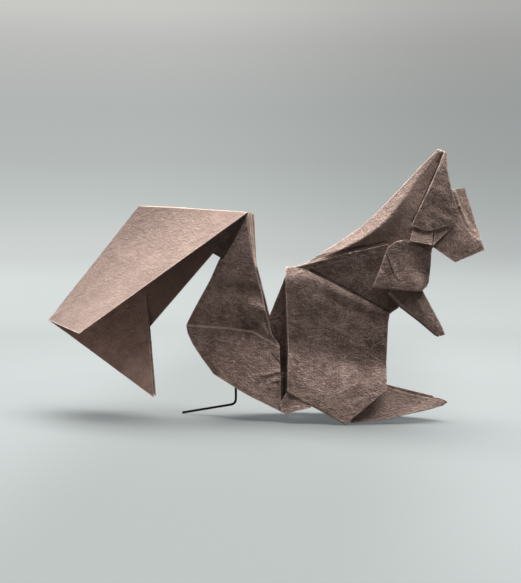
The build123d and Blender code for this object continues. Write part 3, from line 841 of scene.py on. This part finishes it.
# Painted shade: a dark line down the forehead beside the face
FOREHEAD_SHADE_LINE = [(49.5, -1.6, 66.4), (50.6, -1.9, 63.2), (52.7, -2.3, 58.4), (53.5, -2.4, 57.2)]
INNER_LAYER = [
    [(44.6, -0.5, 69.0), (48.6, -0.4, 68.0), (51.8, -0.2, 68.2)],
    [(43.8, -1.2, 52.2), (50.5, -0.8, 52.5), (56.4, -0.5, 53.9)],
    [(44.2, -1.2, 51.8), (49.6, -1.0, 47.6), (57.8, -0.5, 50.9)],
]
FACE = [
    [(41.5, -2.6, 67.5), (45.5, -2.1, 68.0), (48.6, -1.7, 68.0)],
    [(42.0, -3.1, 63.0), (47.5, -2.4, 63.2), (49.9, -2.1, 63.2)],
    [(42.0, -3.5, 58.0), (47.5, -2.9, 58.3), (51.9, -2.4, 58.4)],
    [(42.2, -3.8, 54.6), (49.5, -3.3, 54.6), (54.8, -2.7, 54.5)],
    [(42.6, -4.0, 52.2), (49.6, -3.7, 51.6), (56.9, -2.9, 53.6)],
    [(42.9, -4.0, 51.8), (49.6, -4.2, 47.2), (58.0, -3.3, 50.8)],
]
FACE_BENDS = [
    ((44.0, -3.6, 52.5), (50.5, -2.4, 57.0), -0.18, 0.6), ((50.0, -1.9, 62.0), (55.0, -1.1, 56.4), 0.12, 0.6),
]
EAR = [
    [(46.1, -0.85, 78.6), (46.6, -1.15, 78.7), (46.9, -1.0, 78.5)],
    [(43.9, -2.4, 73.4), (45.9, -2.8, 73.6), (47.1, -2.5, 73.6)],
    [(41.6, -3.3, 68.0), (45.4, -3.6, 68.0), (48.3, -3.1, 68.0)],
    [(39.0, -3.9, 62.6), (44.9, -4.1, 62.8), (49.7, -3.4, 63.0)],
    [(36.8, -4.5, 57.9), (41.2, -4.8, 56.0), (50.5, -3.8, 58.7)],
]
# The ear's rear edge, which is tucked behind its front
EAR_TUCK = [
    [(46.0, -0.5, 78.3), (46.2, -0.75, 78.5)],
    [(44.6, -1.6, 73.0), (43.9, -2.1, 73.0)],
    [(42.9, -2.4, 68.0), (41.6, -3.1, 68.0)],
    [(40.6, -3.1, 62.2), (38.9, -3.9, 62.2)],
    [(39.0, -3.8, 58.4), (36.8, -4.4, 57.8)],
]
EAR_DENTS = [
    ((42.6, -4.3, 61.6), (47.4, -3.8, 58.8), -0.14, 0.7), ((43.4, -4.3, 63.6), (48.4, -3.5, 60.6), 0.12, 0.9),
    ((42.8, -3.4, 68.6), (46.0, -3.5, 66.0), -0.12, 0.8), ((43.6, -3.2, 70.6), (46.6, -3.2, 68.0), 0.08, 0.9),
]
CHEEK_FLAP = [
    [(37.4, -3.6, 58.6), (43.2, -3.8, 57.6)],
    [(37.3, -4.1, 56.8), (43.1, -4.2, 55.9)],
    [(36.5, -5.5, 53.4), (42.8, -5.4, 52.2)],
]
SMALL_FLAP = [
    [(43.7, -3.9, 56.6), (48.8, -3.3, 57.6)],
    [(43.4, -4.5, 54.0), (46.2, -4.2, 55.1)],
    [(43.0, -5.0, 51.9), (43.2, -5.0, 52.0)],
]


class SQUIRREL_OT_fold_head(bpy.types.Operator):
    """Fold the head: a middle layer from forehead to snout, and a face, an ear and flaps on each side"""

    bl_idname = "squirrel.fold_head"
    bl_label = "Fold head"

    def execute(self, context):
        forehead, faces, ears, flaps = [], [], [], []
        lug = [tuck[:1] + front for tuck, front in zip(EAR_TUCK, EAR)]
        for side, face_seed, ear_seed in ((NEAR, 72, 74), (FAR, 73, 75)):
            forehead.append(sheet(
                turned(FOREHEAD, side), gaps=[turned(FOREHEAD_SHADE_LINE, side)], faint=0.14, seed=71,
                wrinkles=turned_wrinkles(FOREHEAD_BENDS, side), cockle_height=0.14, step=0.3,
            ))
            forehead.append(sheet(turned(INNER_LAYER, side), seed=70, cockle_height=0.05))
            face = turned(FACE, side)
            faces.append(sheet(
                face, column_rounds={1: 0.3}, wear_and_highlight_lines=[face[:5, 2]], seed=face_seed,
                wrinkles=turned_wrinkles(FACE_BENDS, side), cockle_height=0.14,
            ))
            ears.append(sheet(
                turned(lug, side), column_rounds={1: 0.4, 2: 1.5}, column_folds=(1,), seed=ear_seed,
                wrinkles=turned_wrinkles(EAR_DENTS, side), cockle_height=0.2, step=0.5,
            ))
            flaps.append(sheet(turned(CHEEK_FLAP, side), seed=76, cockle_height=0.08))
            flaps.append(sheet(turned(SMALL_FLAP, side), seed=77, cockle_height=0.05))
        paper = fibrous_paper("face paper", turn=60.0, shift=45.0, tone=1.2, rough=1.15)
        piece("face", forehead + faces, paper)
        piece("ears", ears, fibrous_paper("ear paper", turn=55.0, shift=52.0, tone=1.02, rough=1.3))
        piece("cheek_flaps", flaps, fibrous_paper("cheek paper", turn=12.0, shift=57.0, tone=1.08))
        return {"FINISHED"}


# Arms: the pouch's rows run from behind its top edge over it and down, and columns from the rear on
POUCH = [
    [(31.0, -3.6, 50.6), (32.5, -4.0, 52.4), (35.1, -4.2, 53.2), (38.7, -3.8, 51.9), (42.2, -3.5, 49.4)],
    [(30.2, -4.1, 51.4), (32.3, -4.5, 53.1), (35.1, -4.9, 53.9), (38.9, -5.2, 52.3), (42.7, -4.8, 49.8)],
    [(29.1, -4.3, 48.6), (30.6, -4.9, 48.6), (36.2, -5.4, 48.6), (39.4, -4.9, 47.8), (42.6, -4.25, 46.8)],
    [(27.9, -4.5, 45.0), (31.2, -5.2, 45.0), (37.4, -5.7, 44.8), (40.0, -4.4, 44.2), (42.3, -3.6, 43.4)],
    [(26.3, -4.8, 41.2), (33.0, -5.8, 41.2), (38.9, -6.0, 41.4), (40.7, -4.7, 41.4), (42.0, -3.6, 41.2)],
    [(25.7, -4.9, 39.9), (33.6, -6.0, 39.2), (38.6, -6.2, 38.9), (39.9, -5.6, 38.7), (41.6, -4.3, 40.3)],
    [(26.4, -4.1, 39.7), (33.8, -4.6, 39.3), (38.2, -5.0, 39.2), (39.4, -4.7, 39.1), (41.2, -4.1, 40.4)],
]
# Painted shade: the dark line across the pouch
POUCH_SHADE_LINE = [
    (29.8, -4.9, 49.4), (30.8, -4.9, 47.3), (31.3, -5.2, 45.2), (32.1, -5.3, 43.4), (33.5, -5.6, 41.9),
]
POUCH_DENTS = [
    ((31.6, -5.0, 49.4), (33.4, -5.6, 44.5), 0.12, 0.9),
    ((28.6, -4.5, 46.0), (30.0, -5.1, 43.0), 0.15, 0.9),
]
FOREARM = [
    [(30.4, -3.6, 37.9), (33.9, -3.8, 34.0), (39.4, -4.3, 29.9), (44.0, -5.0, 26.1), (45.0, -5.2, 25.7)],
    [(30.7, -4.3, 38.5), (34.3, -4.6, 34.6), (39.8, -5.1, 30.4), (44.3, -5.65, 26.5), (45.1, -5.7, 25.9)],
    [(33.0, -4.5, 41.0), (37.5, -4.9, 37.0), (41.6, -5.2, 32.0), (45.3, -5.6, 27.8), (46.0, -5.65, 26.0)],
    [(40.2, -4.0, 40.0), (40.4, -4.2, 38.6), (43.5, -4.7, 32.9), (46.5, -5.4, 27.3), (46.9, -5.6, 26.4)],
]


class SQUIRREL_OT_fold_arms(bpy.types.Operator):
    """Fold the two arms: a bulging pouch at the shoulder with the forearm coming out below it"""

    bl_idname = "squirrel.fold_arms"
    bl_label = "Fold arms"

    def execute(self, context):
        shells = []
        for side, pouch_seed, forearm_seed in ((NEAR, 81, 83), (FAR, 82, 84)):
            pouch = turned(POUCH, side)
            shells.append(sheet(
                pouch, rounds={1: 0.5, 5: 0.4}, column_rounds={1: 0.6, 2: 1.2, 3: 0.8}, folds=(5,),
                column_folds=(0,), wear_and_highlight_lines=[pouch[1, :3]], gaps=[turned(POUCH_SHADE_LINE, side)], seed=pouch_seed,
                wrinkles=turned_wrinkles(POUCH_DENTS, side), cockle_height=0.14, step=0.25,
            ))
            shells.append(sheet(turned(FOREARM, side), rounds={1: 0.35}, folds=(1,), seed=forearm_seed,
                                cockle_height=0.1))
        piece("arms", shells, fibrous_paper("arm paper", turn=38.0, shift=66.0, tone=1.18, rough=1.25))
        return {"FINISHED"}


# Feet: rows run from behind the top edge over it, down to the sole and under it
FOOT = [
    [(19.5, -3.6, 9.6), (30.9, -2.6, 8.4), (37.6, -1.7, 6.9), (42.4, -1.3, 6.2), (46.2, -1.0, 5.8)],
    [(19.0, -2.6, 11.2), (30.0, -2.2, 10.2), (37.6, -1.6, 8.1), (42.4, -1.2, 7.1), (46.3, -1.0, 6.4)],
    [(19.2, -5.2, 6.0), (30.4, -4.9, 5.5), (37.0, -3.6, 5.0), (42.4, -2.4, 5.2), (48.1, -1.0, 5.7)],
    [(20.0, -8.8, 0.5), (30.9, -7.2, 1.4), (35.3, -6.0, 2.6), (42.5, -3.3, 3.8), (46.7, -1.5, 4.9)],
    [(20.4, -7.2, 1.2), (30.9, -5.6, 1.9), (35.3, -4.4, 2.9), (42.3, -2.2, 4.3), (46.4, -1.0, 5.2)],
]
# The foot's second layer, and the line of painted shade over it
FOOT_LAYER = [
    [(29.4, -1.3, 10.5), (44.0, -0.7, 7.3)],
    [(29.0, -1.8, 5.2), (43.0, -1.0, 5.2)],
]
FOOT_SHADE_LINE = [(31.0, -2.8, 9.1), (37.6, -2.2, 7.35), (41.0, -2.0, 6.7)]


class SQUIRREL_OT_fold_feet(bpy.types.Operator):
    """Fold the two pointed feet, which come out under the haunches in a double layer"""

    bl_idname = "squirrel.fold_feet"
    bl_label = "Fold feet"

    def execute(self, context):
        shells = []
        for side in (NEAR, FAR):
            shells.append(sheet(
                turned(FOOT, side), rounds={1: 0.35, 3: 0.35}, folds=(3,), gaps=[turned(FOOT_SHADE_LINE, side)],
                faint=0.08, seed=91, cockle_height=0.1, step=0.5,
            ))
            shells.append(sheet(turned(FOOT_LAYER, side), seed=92, cockle_height=0.08))
        piece("feet", shells, fibrous_paper("foot paper", turn=14.0, shift=77.0, rough=1.1))
        return {"FINISHED"}


class SQUIRREL_OT_bend_wire(bpy.types.Operator):
    """Bend the black wire that props the rump up: a round section along an upright, a bend and a foot"""

    bl_idname = "squirrel.bend_wire"
    bl_label = "Bend wire"

    def execute(self, context):
        radius, bend_radius, bend_height, foot_length = 0.35, 1.6, 3.9, 17.4
        swing = math.radians(10.0)
        high = np.array(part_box("support_wire")[1]) * 1000.0
        top = np.array((high[0] - radius + MIDDLE[0], 0.0, high[2]))
        bend = np.array((top[0], top[1], bend_height))
        drop = bend_height - radius
        run = math.sqrt(foot_length**2 - drop**2)
        tip = bend + (-run * math.cos(swing), run * math.sin(swing), -drop)
        path = runs(np.array([top, bend, tip])[:, None, :], {1: bend_radius}, step=1.0, axis=0)[:, 0]
        # A circle carried along the path, which lies in one plane, so that across is the same all along it
        ways = np.gradient(path, axis=0)
        ways /= np.linalg.norm(ways, axis=1, keepdims=True)
        across = np.cross(ways[0], ways[-1])
        across /= np.linalg.norm(across)
        over = np.cross(ways, across)
        turn = np.linspace(0, 2 * np.pi, 19)[:-1, None]
        body = path[:, None] + radius * (np.cos(turn) * across + np.sin(turn) * over[:, None])
        # Each end is closed by a smaller ring and one that has shrunk to a point
        shares = np.array((0.0, 0.82))[:, None, None]
        caps = [path[end] + (body[end] - path[end]) * shares for end in (0, -1)]
        tube = np.concatenate([caps[0], body, caps[1][::-1]])
        marks = [np.full(tube.shape[0] * tube.shape[1], FAR_OFF)] * len(MARKS)
        piece("prop_wire", [(tube.reshape(-1, 3), ring_quads(tube), *marks)], black_lacquer("black lacquer"),
              node="support_wire")
        return {"FINISHED"}


def area_light(name, size, power, colour, place, aim):
    """Adds a rectangular area light that shines from its place towards its aim."""
    light = bpy.data.lights.new(name, "AREA")
    light.shape = "RECTANGLE"
    light.size, light.size_y = size
    light.energy = power
    light.color = colour
    lamp = bpy.data.objects.new(name, light)
    lamp.location = place
    lamp.rotation_euler = (Vector(aim) - lamp.location).to_track_quat("-Z", "Y").to_euler()
    bpy.context.scene.collection.objects.link(lamp)
    return lamp


class SQUIRREL_OT_set_stage(bpy.types.Operator):
    """Set the pale seamless floor, the softbox above, the fill light and the camera of the photograph"""

    bl_idname = "squirrel.set_stage"
    bl_label = "Set stage"

    def execute(self, context):
        stage = context.scene.squirrel_stage
        # A bowl: the profile (flat, quarter circle, upright) carried once round the vertical axis
        flat, sweep, top = 1.0, 0.55, 1.6
        bend = np.linspace(0.0, np.pi / 2, 17)[1:]
        wall = np.full(6, flat + sweep)
        radius = np.concatenate([np.linspace(0.0, flat, 12), flat + sweep * np.sin(bend), wall])
        height = np.concatenate([np.zeros(12), sweep * (1 - np.cos(bend)), np.linspace(0.7, top, 6)])
        turn = np.linspace(0, 2 * np.pi, 97)[:-1]
        grid = np.stack(np.broadcast_arrays(radius[:, None] * np.cos(turn), radius[:, None] * np.sin(turn),
                                            height[:, None]), -1)
        mesh = bpy.data.meshes.new("studio_floor")
        mesh.from_pydata(grid.reshape(-1, 3), [], ring_quads(grid))
        shape = bmesh.new()
        shape.from_mesh(mesh)
        bmesh.ops.remove_doubles(shape, verts=shape.verts, dist=1e-6)
        shape.to_mesh(mesh)
        shape.free()
        mesh.shade_smooth()
        mesh.materials.append(seamless("seamless paper, painted glow"))
        floor = bpy.data.objects.new("studio_floor", mesh)
        context.scene.collection.objects.link(floor)
        floor.visible_diffuse = floor.visible_glossy = False

        area_light("softbox", (0.95, 0.58), stage.key_power, (1.0, 0.985, 0.965),
                   place=(0.03, 0.151, 0.72), aim=(0.0, 0.093, 0.03))
        bounce = area_light("bounce", (0.04, 0.025), stage.bounce_power, (1.0, 0.82, 0.76),
                            place=(-0.052, -0.02, 0.002), aim=(-0.045, 0.004, 0.03))
        bounce.visible_camera = False

        world = context.scene.world or bpy.data.worlds.new("studio")
        context.scene.world = world
        world.use_nodes = True
        background = world.node_tree.nodes["Background"]
        background.inputs["Color"].default_value = (1.0, 0.93, 0.9, 1.0)
        background.inputs["Strength"].default_value = stage.fill_strength

        lens = bpy.data.cameras.new("camera")
        lens.sensor_fit = "VERTICAL"
        lens.sensor_height = 36.0
        lens.lens = stage.focal_length
        camera = bpy.data.objects.new("camera", lens)
        place = Vector((0.038083, -0.353157, 0.069036))
        azimuth, pitch = math.radians(6.0), math.radians(5.0006)
        right = Vector((math.cos(azimuth), math.sin(azimuth), 0.0))
        level = Vector((-math.sin(azimuth), math.cos(azimuth), 0.0))
        ahead = level * math.cos(pitch) - Vector((0.0, 0.0, 1.0)) * math.sin(pitch)
        turn = Matrix((right, right.cross(ahead), -ahead)).transposed()
        camera.matrix_world = Matrix.Translation(place) @ turn.to_4x4()
        context.scene.collection.objects.link(camera)
        context.scene.camera = camera
        context.scene.view_settings.view_transform = "Standard"
        return {"FINISHED"}


STEPS = (
    SQUIRREL_OT_set_stage, SQUIRREL_OT_fold_tail, SQUIRREL_OT_fold_rump, SQUIRREL_OT_fold_body,
    SQUIRREL_OT_fold_haunches, SQUIRREL_OT_fold_neck, SQUIRREL_OT_fold_head, SQUIRREL_OT_fold_arms,
    SQUIRREL_OT_fold_feet, SQUIRREL_OT_bend_wire,
)


class SQUIRREL_PT_panel(bpy.types.Panel):
    """Lists the squirrel's settings and its steps in the 3D view's sidebar"""

    bl_idname = "SQUIRREL_PT_panel"
    bl_label = "Origami squirrel"
    bl_space_type = "VIEW_3D"
    bl_region_type = "UI"
    bl_category = "Squirrel"

    def draw(self, context):
        for settings in (context.scene.squirrel_paper, context.scene.squirrel_stage):
            for name in settings.__annotations__:
                self.layout.prop(settings, name)
        for step in STEPS:
            self.layout.operator(step.bl_idname)


CLASSES = (SquirrelPaper, SquirrelStage, *STEPS, SQUIRREL_PT_panel)


def register():
    for one in CLASSES:
        bpy.utils.register_class(one)
    bpy.types.Scene.squirrel_paper = bpy.props.PointerProperty(type=SquirrelPaper)
    bpy.types.Scene.squirrel_stage = bpy.props.PointerProperty(type=SquirrelStage)


def unregister():
    del bpy.types.Scene.squirrel_stage
    del bpy.types.Scene.squirrel_paper
    for one in reversed(CLASSES):
        bpy.utils.unregister_class(one)


def main():
    register()
    bpy.ops.squirrel.set_stage()
    bpy.ops.squirrel.fold_tail()
    bpy.ops.squirrel.fold_rump()
    bpy.ops.squirrel.fold_body()
    bpy.ops.squirrel.fold_haunches()
    bpy.ops.squirrel.fold_neck()
    bpy.ops.squirrel.fold_head()
    bpy.ops.squirrel.fold_arms()
    bpy.ops.squirrel.fold_feet()
    bpy.ops.squirrel.bend_wire()


if __name__ == "__main__":
    main()
